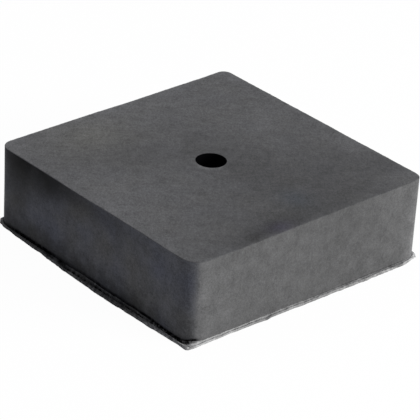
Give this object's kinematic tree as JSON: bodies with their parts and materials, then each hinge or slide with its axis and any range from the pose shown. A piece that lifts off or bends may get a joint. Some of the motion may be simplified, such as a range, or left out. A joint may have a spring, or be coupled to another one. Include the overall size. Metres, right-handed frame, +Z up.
{
  "type": "anti-vibration pad",
  "caption": "Square block of solid dark rubber with rounded upright corners, a bolt hole down its middle and a thin ragged flash lip round its base.",
  "frame": {"origin": "axis of the bolt hole, in the plane of the base that the pad rests on", "axes": "+Z up along the bolt hole; X and Y run along the sides of the square"},
  "size_m": [0.1038, 0.1031, 0.03],
  "materials": {
    "rubber": "matt moulded rubber, slightly mottled, paler on the torn flash"
  },
  "bodies": {
    "root": {"pad": "rubber"}
  },
  "joints": []
}
